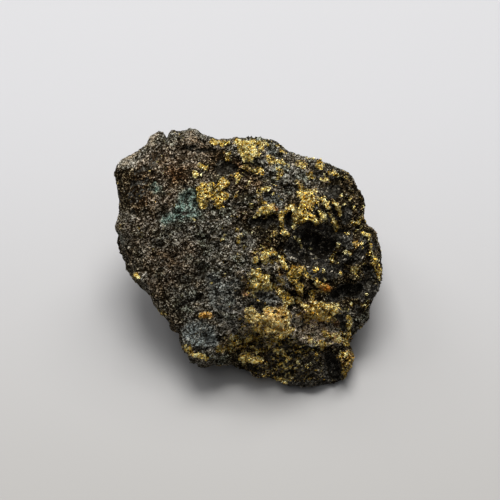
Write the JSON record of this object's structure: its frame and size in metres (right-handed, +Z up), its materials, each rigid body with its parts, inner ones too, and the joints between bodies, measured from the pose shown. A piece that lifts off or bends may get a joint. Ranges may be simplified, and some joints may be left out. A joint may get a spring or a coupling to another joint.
{
  "type": "chalcopyrite specimen",
  "caption": "Rough broken lump of dark ore rock with brassy gold chalcopyrite patches, a broad uneven face, undercut sides and a flat break to rest on.",
  "frame": {"origin": "under the middle of the stone's box, on the plane it rests on", "axes": "+X runs across the broad face, to the right of someone looking at it; +Y runs from the broad face's side to the back; +Z is up. The broad face looks up and towards -Y, 58 degrees above the horizon"},
  "size_m": [0.0676, 0.0588, 0.0421],
  "materials": {
    "ore_rock": "rough dark grey-brown broken rock with patches of brassy gold ore, black sulphide and blue-green stain",
    "chalcopyrite": "brassy gold metallic ore, granular and hackly, bright on single grains and tarnished between them"
  },
  "bodies": {
    "root": {"chalcopyrite_specimen": "ore_rock"}
  },
  "joints": []
}
